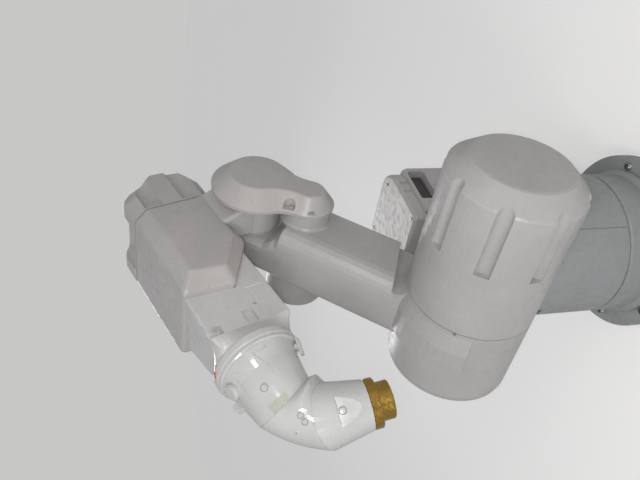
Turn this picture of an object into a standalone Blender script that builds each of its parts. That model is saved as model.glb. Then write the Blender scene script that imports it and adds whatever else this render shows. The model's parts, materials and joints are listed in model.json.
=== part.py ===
"""Floor-standing six-axis painting robot arm with a hollow bending wrist.

Frame: Z up, X forward, Y to the robot's left, origin at the middle of the foot's underside.
Joint axes: slew about Z, shoulder and elbow about Y, roll along the forearm, two coupled tilted
wrist seams, and the tool flange's own axis.
"""

import math

import bmesh
import bpy
from mathutils import Matrix, Vector

# Shared sizes, in metres.
SEAT = 0.0003
FOOT_R = 0.270
FOOT_THICK = 0.030
FOOT_BOLT_PCD = 0.480
FOOT_BOLT_COUNT = 8
FOOT_BOLT_R = 0.009
COLUMN_R = 0.213
COLUMN_TOP = 0.150
COLUMN_ROUND = 0.004
COLUMN_FLARE = 0.012
SLEW_GROOVE = 0.006
SLEW_RING_HEIGHT = 0.012
TURRET_REACH = 0.195
TURRET_HALF = 0.165
TURRET_ROUND = 0.030
SEAM_GROOVE_DEG = 52.0
SEAM_GROOVE_WIDTH = 0.0024
SEAM_GROOVE_DEPTH = 0.0025
OUTLET_REACH = 0.120
OUTLET_HALF = 0.085
OUTLET_LOW = 0.064
OUTLET_HIGH = 0.134

REAR_BACK = -0.455
REAR_LEFT = -0.014
REAR_RIGHT = -0.276
REAR_LOW = 0.345
REAR_TOP = 0.607
REAR_ROUND = 0.024
ENTRY_FRONT = -0.268
ENTRY_BACK = -0.420
ENTRY_LOW = 0.534
ENTRY_HIGH = 0.592
ENTRY_DEPTH = 0.040
LID_BACK = -0.460
LID_FRONT = -0.168
LID_LEFT = -0.014
LID_RIGHT = -0.292
LID_THICK = 0.048
LID_CORNER_R = 0.085
LID_FRONT_R = 0.012
LID_EDGE = 0.009
LID_RIB_COUNT = 3
LID_RIB_PITCH = 0.044
LID_RIB_WIDTH = 0.016

SHOULDER_X = 0.100
SHOULDER_Z = 0.560
DRUM_R = 0.190
DRUM_SEAM_Y = -0.084
DRUM_END_Y = 0.372
DRUM_FLAT_R = 0.1345
DRUM_CHAMFER = 0.046
FLUTE_COUNT = 8
FLUTE_R = 0.0215
FLUTE_CENTRE_R = 0.1935
FLUTE_START_Y = 0.128
FLUTE_FIRST_DEG = -9.4

ARM_LEAN = math.radians(40.84)
ARM_LENGTH = 0.740
ARM_Y_RIGHT = -0.280
ARM_Y_LEFT = -0.092
ARM_FRONT = 0.106
ARM_REAR = 0.104
ARM_CORNER_R = 0.052
ARM_START = 0.050
ARM_EDGE = 0.006
PRONG_LEFT_Y = -0.167
PRONG_FOOT_Y = -0.144
PRONG_CORNER_R = 0.028
PRONG_INSET = 0.0006
PRONG_TAPER = 0.054
SHOULDER_DROP = 0.145
SHOULDER_FILLET = 0.025
LEDGE_FRONT_U = 0.205
LEDGE_REAR_U = 0.262
NECK_Y = -0.122
NECK_FLARE = 0.036
SADDLE_RISE = 0.013
SADDLE_FIRST = math.radians(-18.84)
SADDLE_LAST = math.radians(72.0)
SADDLE_FLAT_Y = -0.147
SADDLE_BEVEL_Y = -0.096
HUB_LENGTH = 0.2577
END_COVER_THICK = 0.0297

FOREARM_DROP = math.radians(19.95)
HUB_R = 0.088
SEAL_GROOVE = 0.003
COVER_BACK_Y = -0.045
COVER_RIM_Y = -0.033
COVER_FLAT_Y = 0.018
COVER_RIM_R = 0.144
COVER_FLAT_R = 0.089
LOBE_DROP = 0.175
LOBE_SHIFT = -0.025
LOBE_RIM_R = 0.082
LOBE_FLAT_R = 0.042
LOBE_POST_R = 0.076
POST_FLARE = 0.0075
COVER_POCKETS = ((0.054, 0.147), (0.047, 0.226), (-0.101, 0.088))
COVER_POCKET_R = 0.0190
COVER_POCKET_Y = -0.0255
MOTOR_R = 0.100
MOTOR_LENGTH = 0.125
BEARING_CAP_R = 0.066

HOUSE_Y = -0.245
HOUSE_HALF = 0.163
HOUSE_TOP = 0.376
HOUSE_BOTTOM = 0.112
HOUSE_CHAMFER = 0.038
HOUSE_BACK = -0.077
HOUSE_ROUND = 0.009
CAP_TOP_S = -0.160
CAP_BACK = -0.245
CAP_BOTTOM_S = -0.190
CAP_BACK_HIGH = 0.262
CAP_BACK_LOW = 0.190
CAP_FLUTE_HIGH_T = 0.311
CAP_FLUTE_HIGH_R = 0.031
CAP_FLUTE_HIGH_DEPTH = 0.021
CAP_FLUTE_LOW_T = 0.192
CAP_FLUTE_LOW_R = 0.0245
CAP_FLUTE_LOW_DEPTH = 0.016
CAP_TOP_RECESS = 0.028
CAP_TOP_LAND = 0.042
TUBE_HALF = 0.108
TUBE_Y = -0.249
TUBE_TOP = 0.370
TUBE_BOTTOM = 0.125
TUBE_EDGE = 0.005
TUBE_DROP_START = 0.002
TUBE_DROP_END = 0.036
TUBE_START = 0.150
TUBE_END = 0.430
POCKET_DEPTH = 0.014
PANEL_DEPTH = 0.002
ROLL_Y = -0.239
ROLL_T = 0.256
COLLAR_R = 0.126
COLLAR_START = 0.474
COLLAR_ROUND = 0.005
NECK_STEPS = 4
RING_S = 0.500

SEAM_TILT = math.radians(31.7)
WRIST_TURN = math.radians(72.2)
WRIST_AZIMUTH = math.radians(135.4)
SECTION_1_LENGTH = 0.1352
SECTION_2_LENGTH = 0.1216
SECTION_3_LENGTH = 0.1059
RING_R = 0.1225
RING_THICK = 0.012
SECTION_1_R = 0.116
SECTION_1_NECK = 0.045
SECTION_1_NECK_R = 0.103
SKIN_MIDDLE_R = 0.097
SEAM_1_R = 0.0895
SEAM_2_R = 0.0875
CONE_END_R = 0.0675
BOSS_DEG = -140.0
BOSS_HEIGHT = 0.050
BOSS_R = 0.023
BOSS_RISE = 0.016
BOSS_LEAN = math.radians(-14.0)
SKIN_LEAN = math.radians(-15.9)
LUG_DEG = -110.0
LUG_HEIGHT = 0.067
LUG_REACH = 0.020
LUG_WIDTH = 0.032
LUG_THICK = 0.008
BAR_DEG = 76.0
BAR_HEIGHT = 0.034
BAR_STAND_OFF = 0.0135
BAR_LENGTH = 0.054
BAR_WIDTH = 0.018
BAR_THICK = 0.009
BAR_POST = 0.014
PAD_FOOT_R = 0.0706
PAD_DEG = 175.0
PAD_TOP = 0.019
PAD_END = 0.081
PAD_FLAT = 0.066
PLATE_DEG = 170.0
FLANGE_R = 0.0665
FLANGE_LENGTH = 0.026
ADAPTER_R = 0.0510
ADAPTER_LENGTH = 0.037


for old in list(bpy.data.objects):
    bpy.data.objects.remove(old, do_unlink=True)

ROBOT = bpy.data.collections.new("robot_arm")
bpy.context.scene.collection.children.link(ROBOT)
CUTTERS = bpy.data.collections.new("cutters")
bpy.context.scene.collection.children.link(CUTTERS)
CUTTERS.hide_render = True


def material(name, colour, roughness, metallic=0.0):
    made = bpy.data.materials.new(name)
    made.use_nodes = True
    shader = made.node_tree.nodes["Principled BSDF"]
    shader.inputs["Base Color"].default_value = (*colour, 1.0)
    shader.inputs["Roughness"].default_value = roughness
    shader.inputs["Metallic"].default_value = metallic
    return made


PAINTS = {
    "satin": ((0.50, 0.52, 0.56), 0.42, 0.0),
    "cover": ((0.56, 0.57, 0.60), 0.45, 0.0),
    "gloss": ((0.66, 0.68, 0.68), 0.22, 0.0),
    "column": ((0.30, 0.35, 0.36), 0.55, 0.0),
    "brass": ((0.72, 0.48, 0.14), 0.28, 1.0),
    "steel": ((0.45, 0.45, 0.46), 0.40, 1.0),
    "dark": ((0.05, 0.05, 0.055), 0.60, 0.0),
    "red": ((0.55, 0.06, 0.03), 0.50, 0.0),
    "label": ((0.70, 0.70, 0.68), 0.50, 0.0),
}


def give(name, mesh, parent, paint, smooth=30.0):
    """A visible piece with a material of its own, placed in its parent's frame."""
    piece = bpy.data.objects.new(name, mesh)
    ROBOT.objects.link(piece)
    piece.parent = parent
    mesh.materials.append(material(name, *PAINTS[paint]))
    shade(mesh, smooth)
    return piece


def shade(mesh, angle):
    made = bmesh.new()
    made.from_mesh(mesh)
    for face in made.faces:
        face.smooth = True
    for edge in made.edges:
        flat = len(edge.link_faces) != 2 or edge.calc_face_angle(0.0) > math.radians(angle)
        edge.smooth = not flat
    made.to_mesh(mesh)
    made.free()


def frame(name, parent, matrix):
    """An empty whose matrix is the joint's frame in its parent's frame."""
    empty = bpy.data.objects.new(name, None)
    ROBOT.objects.link(empty)
    empty.parent = parent
    empty.matrix_local = matrix
    return empty


def placed(origin, x_axis, y_axis, z_axis):
    turned = Matrix((x_axis, y_axis, z_axis)).transposed().to_4x4()
    return Matrix.Translation(origin) @ turned


def box(low, high):
    mesh = bpy.data.meshes.new("box")
    made = bmesh.new()
    bmesh.ops.create_cube(made, size=1.0)
    size = [b - a for a, b in zip(low, high)]
    middle = [(a + b) / 2 for a, b in zip(low, high)]
    bmesh.ops.transform(
        made, matrix=Matrix.Translation(middle) @ Matrix.Diagonal((*size, 1.0)), verts=made.verts
    )
    made.to_mesh(mesh)
    made.free()
    return mesh


def cylinder(radius, low, high, axis="Z", centre=(0.0, 0.0), steps=64, end_radius=None):
    """A cylinder or cone along one axis; centre holds the two other coordinates in X, Y, Z order."""
    mesh = bpy.data.meshes.new("cylinder")
    made = bmesh.new()
    bmesh.ops.create_cone(
        made,
        cap_ends=True,
        segments=steps,
        radius1=radius,
        radius2=radius if end_radius is None else end_radius,
        depth=high - low,
        matrix=Matrix.Translation((0, 0, (low + high) / 2)),
    )
    if axis == "Y":
        turn = Matrix.Translation((centre[0], 0, centre[1])) @ Matrix.Rotation(-math.pi / 2, 4, "X")
    elif axis == "X":
        turn = Matrix.Translation((0, centre[0], centre[1])) @ Matrix.Rotation(math.pi / 2, 4, "Y")
    else:
        turn = Matrix.Translation((centre[0], centre[1], 0))
    bmesh.ops.transform(made, matrix=turn, verts=made.verts)
    made.to_mesh(mesh)
    made.free()
    return mesh


def outline(points, axis, level):
    """One flat face of the given outline, for a Solidify to thicken; axis is its normal."""
    if axis == "Y":
        corners = [(a, level, b) for a, b in points]
    elif axis == "X":
        corners = [(level, a, b) for a, b in points]
    else:
        corners = [(a, b, level) for a, b in points]
    mesh = bpy.data.meshes.new("outline")
    mesh.from_pydata(corners, [], [list(range(len(corners)))])
    return mesh


def loft(rings):
    """A closed body over rings of equally many points, capped; faces that are not flat are split."""
    count = len(rings[0])
    points = [tuple(p) for ring in rings for p in ring]
    faces = []
    for k in range(len(rings) - 1):
        for i in range(count):
            j = (i + 1) % count
            faces.append((k * count + i, k * count + j, (k + 1) * count + j, (k + 1) * count + i))
    faces.append(tuple(range(count))[::-1])
    faces.append(tuple(range((len(rings) - 1) * count, len(rings) * count)))
    mesh = bpy.data.meshes.new("loft")
    mesh.from_pydata(points, [], faces)
    made = bmesh.new()
    made.from_mesh(mesh)
    bmesh.ops.recalc_face_normals(made, faces=made.faces)
    twisted = []
    for face in made.faces:
        spots = [corner.co for corner in face.verts]
        if len(spots) == 4 and abs((spots[3] - spots[0]).dot(face.normal)) > 1e-6:
            twisted.append(face)
    bmesh.ops.triangulate(made, faces=twisted)
    made.to_mesh(mesh)
    made.free()
    return mesh


def turned(name, profile, parent, paint, matrix=None, steps=64):
    """A Screw over a profile of (radius, height) that starts and ends on the axis, top to bottom."""
    mesh = bpy.data.meshes.new(name)
    points = [(r, 0.0, z) for r, z in profile]
    mesh.from_pydata(points, [(i, i + 1) for i in range(len(points) - 1)], [])
    piece = bpy.data.objects.new(name, mesh)
    ROBOT.objects.link(piece)
    piece.parent = parent
    if matrix is not None:
        piece.matrix_local = matrix
    mesh.materials.append(material(name, *PAINTS[paint]))
    screw = piece.modifiers.new("turn", "SCREW")
    screw.axis = "Z"
    screw.steps = steps
    screw.render_steps = steps
    screw.use_merge_vertices = True
    screw.merge_threshold = 0.00005
    screw.use_smooth_shade = True
    return piece


def thicken(piece, thickness, offset=0.0):
    solid = piece.modifiers.new("thickness", "SOLIDIFY")
    solid.thickness = thickness
    solid.offset = offset
    solid.use_even_offset = False
    return solid


def bevel(piece, width, segments=2, angle=35.0):
    made = piece.modifiers.new("edges", "BEVEL")
    made.width = width
    made.segments = segments
    made.limit_method = "ANGLE"
    made.angle_limit = math.radians(angle)
    made.use_clamp_overlap = True
    made.harden_normals = False
    return made


def helper(name, mesh, parent, matrix=None, smooth=False):
    if smooth:
        shade(mesh, 40.0)
    piece = bpy.data.objects.new(name, mesh)
    CUTTERS.objects.link(piece)
    piece.parent = parent
    if matrix is not None:
        piece.matrix_local = matrix
    piece.hide_render = True
    piece.display_type = "WIRE"
    return piece


def join(piece, other, operation="DIFFERENCE"):
    made = piece.modifiers.new(operation.lower(), "BOOLEAN")
    made.operation = operation
    made.solver = "EXACT"
    made.object = other
    return made


def arc(cx, cy, radius, start, end, steps):
    """Points on an arc, angles in degrees."""
    found = []
    for i in range(steps + 1):
        angle = math.radians(start + (end - start) * i / steps)
        found.append((cx + radius * math.cos(angle), cy + radius * math.sin(angle)))
    return found


def rounded_box_outline(low_a, low_b, high_a, high_b, radii, steps=5):
    """Corners in order low-low, high-low, high-high, low-high, with one radius each."""
    found = []
    corners = [
        (low_a, low_b, 1, 1, 180, radii[0]),
        (high_a, low_b, -1, 1, 270, radii[1]),
        (high_a, high_b, -1, -1, 0, radii[2]),
        (low_a, high_b, 1, -1, 90, radii[3]),
    ]
    for a, b, da, db, start, radius in corners:
        found += arc(a + da * radius, b + db * radius, radius, start, start + 90, steps)
    return found


# Frames: each joint's empty sits on its axis.
FOOT = frame("foot_frame", None, Matrix.Identity(4))
SLEW = frame("slew_axis", FOOT, Matrix.Identity(4))
LEAN = placed(
    (SHOULDER_X, 0.0, SHOULDER_Z),
    (math.cos(ARM_LEAN), 0.0, math.sin(ARM_LEAN)),
    (0.0, 1.0, 0.0),
    (-math.sin(ARM_LEAN), 0.0, math.cos(ARM_LEAN)),
)
ARM = frame("shoulder_axis", SLEW, LEAN)
ELBOW = frame(
    "elbow_axis",
    ARM,
    Matrix.Translation((0, 0, ARM_LENGTH))
    @ Matrix.Rotation(ARM_LEAN + FOREARM_DROP, 4, "Y"),
)
ROLL = frame(
    "roll_axis",
    ELBOW,
    Matrix.Translation((RING_S, ROLL_Y, ROLL_T))
    @ Matrix.Rotation(math.pi / 2, 4, "Y")
    @ Matrix.Rotation(WRIST_AZIMUTH - math.pi, 4, "Z"),
)
SEAM_1_NORMAL = Vector((math.sin(SEAM_TILT), 0.0, math.cos(SEAM_TILT)))
SEAM_2_NORMAL = Vector((-math.sin(SEAM_TILT), 0.0, math.cos(SEAM_TILT)))
BEND = frame(
    "bend_axis",
    ROLL,
    Matrix.Translation((0, 0, SECTION_1_LENGTH)) @ Matrix.Rotation(-WRIST_TURN, 4, SEAM_1_NORMAL),
)
COUNTER = frame(
    "counter_axis",
    BEND,
    Matrix.Translation((0, 0, SECTION_2_LENGTH)) @ Matrix.Rotation(WRIST_TURN, 4, SEAM_2_NORMAL),
)
TOOL = frame("tool_axis", COUNTER, Matrix.Translation((0, 0, SECTION_3_LENGTH)))


# Foot: a round plate with bolt holes, and the column.
foot = give("foot_plate", cylinder(FOOT_R, 0.0, FOOT_THICK, steps=96), FOOT, "column")
hole_mesh = bpy.data.meshes.new("foot_holes")
holes = bmesh.new()
for k in range(FOOT_BOLT_COUNT):
    turn = math.radians(360.0 * (k + 0.5) / FOOT_BOLT_COUNT)
    spot = (FOOT_BOLT_PCD / 2 * math.cos(turn), FOOT_BOLT_PCD / 2 * math.sin(turn), FOOT_THICK / 2)
    bmesh.ops.create_cone(
        holes,
        cap_ends=True,
        segments=24,
        radius1=FOOT_BOLT_R,
        radius2=FOOT_BOLT_R,
        depth=FOOT_THICK * 2,
        matrix=Matrix.Translation(spot),
    )
holes.to_mesh(hole_mesh)
holes.free()
join(foot, helper("foot_holes", hole_mesh, FOOT))

COLUMN_BOTTOM = FOOT_THICK + SEAT
turned(
    "column",
    [
        (0.0, COLUMN_TOP),
        (COLUMN_R - COLUMN_ROUND, COLUMN_TOP),
        (COLUMN_R, COLUMN_TOP - COLUMN_ROUND),
        (COLUMN_R, COLUMN_BOTTOM + 2.5 * COLUMN_FLARE),
        (COLUMN_R + COLUMN_FLARE, COLUMN_BOTTOM + COLUMN_FLARE),
        (COLUMN_R + COLUMN_FLARE, COLUMN_BOTTOM),
        (0.0, COLUMN_BOTTOM),
    ],
    FOOT,
    "column",
    steps=72,
)
SLEW_RING_LOW = COLUMN_TOP + SEAT
SLEW_RING_TOP = SLEW_RING_LOW + SLEW_RING_HEIGHT
turned(
    "slew_ring",
    [
        (0.0, SLEW_RING_TOP),
        (COLUMN_R - SLEW_GROOVE, SLEW_RING_TOP),
        (COLUMN_R - SLEW_GROOVE, SLEW_RING_LOW),
        (0.0, SLEW_RING_LOW),
    ],
    FOOT,
    "steel",
    steps=72,
)
outlet = give(
    "connector_box",
    box(
        (-COLUMN_R - OUTLET_REACH, -OUTLET_HALF, OUTLET_LOW),
        (-COLUMN_R * 0.9, OUTLET_HALF, OUTLET_HIGH),
    ),
    FOOT,
    "column",
)
bevel(outlet, 0.006)
column_space = helper(
    "column_space", cylinder(COLUMN_R + SEAT, -0.1, COLUMN_TOP + 0.1, steps=144), FOOT
)
join(outlet, column_space)

# Slewing head: turret casting, fluted drum cover, rear housing with its lid.
TURRET_BOTTOM = SLEW_RING_TOP + SEAT
turret = give(
    "turret",
    cylinder(COLUMN_R, TURRET_BOTTOM, SHOULDER_Z, steps=72),
    SLEW,
    "column",
)
turret_back = helper(
    "turret_back",
    box((-TURRET_REACH, -TURRET_HALF, REAR_LOW - 0.060), (0.0, TURRET_HALF, SHOULDER_Z)),
    SLEW,
)
bevel(turret_back, TURRET_ROUND, 3)
join(turret, turret_back, "UNION")
drum_space = helper(
    "drum_space",
    cylinder(DRUM_R + SEAT, -0.6, 0.6, "Y", (SHOULDER_X, SHOULDER_Z), 144),
    SLEW,
)
join(turret, drum_space)
hub_space = helper(
    "hub_space",
    cylinder(
        DRUM_R + SADDLE_RISE + 0.006,
        -0.6,
        DRUM_SEAM_Y + 0.006,
        "Y",
        (SHOULDER_X, SHOULDER_Z),
        144,
    ),
    SLEW,
)
join(turret, hub_space)
seam_turn = math.radians(SEAM_GROOVE_DEG)
seam_cut = helper(
    "seam_cut",
    box(
        (COLUMN_R - SEAM_GROOVE_DEPTH, -SEAM_GROOVE_WIDTH / 2, TURRET_BOTTOM - 0.01),
        (COLUMN_R + 0.02, SEAM_GROOVE_WIDTH / 2, SHOULDER_Z),
    ),
    SLEW,
    Matrix.Rotation(seam_turn, 4, "Z"),
)
join(turret, seam_cut)

drum_matrix = placed(
    (SHOULDER_X, 0.0, SHOULDER_Z), (1.0, 0.0, 0.0), (0.0, 0.0, -1.0), (0.0, 1.0, 0.0)
)
DRUM_START = DRUM_SEAM_Y + SEAT
drum = turned(
    "drum_cover",
    [
        (0.0, DRUM_END_Y),
        (DRUM_FLAT_R - 0.004, DRUM_END_Y),
        (DRUM_FLAT_R + 0.004, DRUM_END_Y - 0.002),
        (DRUM_R - 0.003, DRUM_END_Y - DRUM_CHAMFER + 0.003),
        (DRUM_R, DRUM_END_Y - DRUM_CHAMFER - 0.005),
        (DRUM_R, DRUM_START + 0.002),
        (DRUM_R - 0.002, DRUM_START),
        (0.0, DRUM_START),
    ],
    SLEW,
    "satin",
    drum_matrix,
    steps=72,
)
flute_mesh = bpy.data.meshes.new("flutes")
flutes = bmesh.new()
for k in range(FLUTE_COUNT):
    turn = math.radians(FLUTE_FIRST_DEG + 360.0 * k / FLUTE_COUNT)
    spot = Vector(
        (
            SHOULDER_X + FLUTE_CENTRE_R * math.cos(turn),
            (FLUTE_START_Y + 0.5) / 2,
            SHOULDER_Z + FLUTE_CENTRE_R * math.sin(turn),
        )
    )
    bmesh.ops.create_cone(
        flutes,
        cap_ends=True,
        segments=24,
        radius1=FLUTE_R,
        radius2=FLUTE_R,
        depth=0.5 - FLUTE_START_Y,
        matrix=Matrix.Translation(spot) @ Matrix.Rotation(-math.pi / 2, 4, "X"),
    )
flutes.to_mesh(flute_mesh)
flutes.free()
join(drum, helper("flutes", flute_mesh, SLEW))

rear = give(
    "rear_housing",
    box((REAR_BACK, REAR_RIGHT, REAR_LOW), (-TURRET_REACH - SEAT, REAR_LEFT, REAR_TOP - SEAT)),
    SLEW,
    "column",
)
bevel(rear, REAR_ROUND, 3)
turret_space = helper(
    "turret_space", cylinder(COLUMN_R + SEAT, 0.0, 1.0, steps=144), SLEW
)
join(rear, turret_space)
entry_cut = helper(
    "entry_cut",
    box(
        (ENTRY_BACK, REAR_LEFT - ENTRY_DEPTH, ENTRY_LOW),
        (ENTRY_FRONT, REAR_LEFT + 0.05, ENTRY_HIGH),
    ),
    SLEW,
)
bevel(entry_cut, 0.008, 2)
join(rear, entry_cut)
ENTRY_GAP = 0.006
entry = give(
    "cable_entry",
    box(
        (ENTRY_BACK + ENTRY_GAP, REAR_LEFT - ENTRY_DEPTH + SEAT, ENTRY_LOW + ENTRY_GAP),
        (ENTRY_FRONT - ENTRY_GAP, REAR_LEFT - ENTRY_DEPTH / 2, ENTRY_HIGH - ENTRY_GAP),
    ),
    SLEW,
    "dark",
)
bevel(entry, 0.004, 2)

lid_outline = rounded_box_outline(
    LID_BACK,
    LID_RIGHT,
    LID_FRONT,
    LID_LEFT,
    (LID_FRONT_R, LID_FRONT_R, LID_FRONT_R, LID_CORNER_R),
    8,
)
lid = give("rear_lid", outline(lid_outline, "Z", REAR_TOP), SLEW, "cover")
thicken(lid, LID_THICK, 1.0)
bevel(lid, LID_EDGE, 2, 60.0)
for k in range(LID_RIB_COUNT):
    low_x = ENTRY_BACK + LID_RIB_WIDTH + k * LID_RIB_PITCH
    rib_cut = helper(
        "lid_rib_%d" % k,
        box(
            (low_x, LID_LEFT - 0.005, REAR_TOP - 0.01),
            (low_x + LID_RIB_WIDTH, LID_LEFT + 0.05, REAR_TOP + LID_THICK - LID_EDGE - 0.004),
        ),
        SLEW,
    )
    join(lid, rib_cut)

# Lower arm, in the frame of the shoulder axis: X is its front, Z runs up to the elbow.
def sector(profiles):
    """Rings about the drum axis: each is (angle, [(radius, y), ...]) in the arm's frame."""
    rings = []
    for angle, points in profiles:
        rings.append([(r * math.cos(angle), y, r * math.sin(angle)) for r, y in points])
    return loft(rings)


HUB_FAR_Y = DRUM_SEAM_Y - SEAT - HUB_LENGTH
arm = give(
    "arm_casting",
    cylinder(DRUM_R, HUB_FAR_Y, DRUM_SEAM_Y - SEAT, "Y", (0.0, 0.0), 96),
    ARM,
    "satin",
)
SHOULDER_U = ARM_LENGTH - SHOULDER_DROP
arm_outline = rounded_box_outline(
    -ARM_REAR, ARM_Y_RIGHT, ARM_FRONT, ARM_Y_LEFT, (0.020, 0.026, ARM_CORNER_R, 0.012), 5
)
arm_box = helper("arm_box", outline(arm_outline, "Z", ARM_START), ARM, smooth=True)
thicken(arm_box, SHOULDER_U - ARM_START, 1.0)
bevel(arm_box, ARM_EDGE, 2, 60.0)
ledge_slope = (LEDGE_REAR_U - LEDGE_FRONT_U) / (ARM_FRONT + ARM_REAR)
ledge_cut = helper(
    "ledge_cut",
    outline(
        [
            (-ARM_REAR - 0.05, ARM_START - 0.05),
            (ARM_FRONT + 0.05, ARM_START - 0.05),
            (ARM_FRONT + 0.05, LEDGE_FRONT_U - 0.05 * ledge_slope),
            (-ARM_REAR - 0.05, LEDGE_REAR_U + 0.05 * ledge_slope),
        ],
        "Y",
        NECK_Y,
    ),
    ARM,
)
thicken(ledge_cut, 0.1, -1.0)
join(arm_box, ledge_cut)
join(arm, arm_box, "UNION")


def prong_ring(u, left, narrow=1.0):
    """A rounded cross-section of the prong at the height u; narrow shrinks it along X."""
    corner = min(PRONG_CORNER_R * max(0.25, narrow), ARM_REAR * narrow * 0.8)
    points = rounded_box_outline(
        (PRONG_INSET - ARM_REAR) * narrow,
        ARM_Y_RIGHT + PRONG_INSET,
        (ARM_FRONT - PRONG_INSET) * narrow,
        left,
        (corner, corner, corner, corner),
        3,
    )
    return [(x, y, u) for x, y in points]


prong_rings = [prong_ring(SHOULDER_U - 0.06, PRONG_FOOT_Y + SHOULDER_FILLET)]
for k in range(4):
    turn = math.radians(30.0 * k)
    prong_rings.append(
        prong_ring(
            SHOULDER_U - 0.0005 + SHOULDER_FILLET * (1 - math.cos(turn)),
            PRONG_FOOT_Y + SHOULDER_FILLET * (1 - math.sin(turn)),
        )
    )
prong_rings.append(prong_ring(SHOULDER_U + PRONG_TAPER, PRONG_LEFT_Y))
for turn in (0.0, 18.0, 34.0, 48.0, 60.0, 70.0, 78.0, 85.0):
    prong_rings.append(
        prong_ring(
            ARM_LENGTH + (ARM_REAR + 0.001) * math.sin(math.radians(turn)),
            PRONG_LEFT_Y,
            math.cos(math.radians(turn)),
        )
    )
join(arm, helper("prong", loft(prong_rings), ARM, smooth=True), "UNION")

SADDLE_R = DRUM_R + SADDLE_RISE
saddle_profiles = []
for k in range(13):
    share = k / 12
    angle = SADDLE_FIRST + (SADDLE_LAST - SADDLE_FIRST) * share
    right = -0.2165 - 0.048 * share * share
    saddle_profiles.append(
        (
            angle,
            [
                (DRUM_R - 0.030, right),
                (SADDLE_R - 0.003, right),
                (SADDLE_R, right + 0.003),
                (SADDLE_R, SADDLE_FLAT_Y - 0.003),
                (SADDLE_R - 0.0008, SADDLE_FLAT_Y),
                (DRUM_R + 0.0008, SADDLE_BEVEL_Y),
                (DRUM_R - 0.030, SADDLE_BEVEL_Y),
            ],
        )
    )
join(arm, helper("saddle", sector(saddle_profiles), ARM, smooth=True), "UNION")
flare_profiles = []
for k in range(11):
    angle = math.radians(40.0 + 10.0 * k)
    points = [(DRUM_R - 0.030, NECK_Y - 0.02), (DRUM_R + NECK_FLARE, NECK_Y - 0.02)]
    points += [
        (
            DRUM_R + 0.0008 + NECK_FLARE * (1 - math.sin(math.radians(turn))),
            NECK_Y - 0.0006 + NECK_FLARE * (1 - math.cos(math.radians(turn))),
        )
        for turn in (0.0, 22.5, 45.0, 67.5, 90.0)
    ]
    points.append((DRUM_R - 0.030, points[-1][1]))
    flare_profiles.append((angle, points))
neck_flare = helper("neck_flare", sector(flare_profiles), ARM, smooth=True)
neck_slab = helper(
    "neck_slab",
    box((-ARM_REAR + 0.001, NECK_Y - 0.1, 0.0), (ARM_FRONT - 0.001, NECK_Y + 0.1, 0.4)),
    ARM,
)
join(neck_flare, neck_slab, "INTERSECT")
join(arm, neck_flare, "UNION")

END_COVER_Y = HUB_FAR_Y - SEAT
turned(
    "hub_end_cover",
    [
        (0.0, END_COVER_Y),
        (DRUM_R, END_COVER_Y),
        (DRUM_R - 0.004, END_COVER_Y - END_COVER_THICK * 0.5),
        (DRUM_R - 0.014, END_COVER_Y - END_COVER_THICK * 0.85),
        (DRUM_R - 0.030, END_COVER_Y - END_COVER_THICK),
        (0.0, END_COVER_Y - END_COVER_THICK),
    ],
    ARM,
    "satin",
    placed((0, 0, 0), (1.0, 0.0, 0.0), (0.0, 0.0, -1.0), (0.0, 1.0, 0.0)),
    steps=96,
)


def eight(big_r, small_r, fillet_r, steps=10):
    """Outline of two circles joined by concave fillets, as (x, z) about the elbow axis."""
    far = math.hypot(LOBE_DROP, LOBE_SHIFT)
    tilt = math.atan2(-LOBE_DROP, LOBE_SHIFT)
    a = big_r + fillet_r
    b = small_r + fillet_r
    along = (a * a - b * b + far * far) / (2 * far)
    off = math.sqrt(a * a - along * along)
    at_big = math.degrees(math.atan2(off, along))
    at_small = math.degrees(math.atan2(off, far - along))
    local = []
    local += arc(0, 0, big_r, at_big, 360 - at_big, steps * 4)
    local += arc(along, -off, fillet_r, 180 - at_big, at_small, steps)[1:-1]
    local += arc(far, 0, small_r, at_small - 180, 180 - at_small, steps * 2)
    local += arc(along, off, fillet_r, -at_small, at_big - 180, steps)[1:-1]
    return [
        (x * math.cos(tilt) - y * math.sin(tilt), x * math.sin(tilt) + y * math.cos(tilt))
        for x, y in local
    ]


def at_elbow(points, y):
    return [(x, y, z + ARM_LENGTH) for x, z in points]


cover_base = give(
    "elbow_cover_base",
    loft(
        [
            at_elbow(eight(COVER_RIM_R - 0.004, LOBE_RIM_R - 0.004, 0.103), COVER_BACK_Y),
            at_elbow(eight(COVER_RIM_R - 0.001, LOBE_RIM_R - 0.001, 0.100), COVER_BACK_Y + 0.004),
            at_elbow(eight(COVER_RIM_R - 0.001, LOBE_RIM_R - 0.001, 0.100), COVER_RIM_Y - 0.0003),
        ]
    ),
    ARM,
    "satin",
)
elbow_cover = give(
    "elbow_cover",
    loft(
        [
            at_elbow(eight(COVER_RIM_R, LOBE_RIM_R, 0.100), COVER_RIM_Y),
            at_elbow(eight(COVER_RIM_R, LOBE_RIM_R, 0.100), COVER_RIM_Y + 0.003),
            at_elbow(eight(COVER_FLAT_R + 0.005, LOBE_FLAT_R + 0.005, 0.145), COVER_FLAT_Y - 0.003),
            at_elbow(eight(COVER_FLAT_R, LOBE_FLAT_R, 0.150), COVER_FLAT_Y),
        ]
    ),
    ARM,
    "cover",
)
for k, (x, drop) in enumerate(COVER_POCKETS):
    pocket = cylinder(
        COVER_POCKET_R, COVER_POCKET_Y, COVER_FLAT_Y + 0.05, "Y", (x, ARM_LENGTH - drop), 24
    )
    join(elbow_cover, helper("cover_pocket_%d" % k, pocket, ARM))
along_y = placed((0, 0, 0), (1.0, 0.0, 0.0), (0.0, 0.0, -1.0), (0.0, 1.0, 0.0))
lobe_spot = (LOBE_SHIFT, ARM_LENGTH - LOBE_DROP)
at_lobe = Matrix.Translation((lobe_spot[0], 0.0, lobe_spot[1])) @ along_y
POST_START = ARM_Y_LEFT + SEAT
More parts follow.
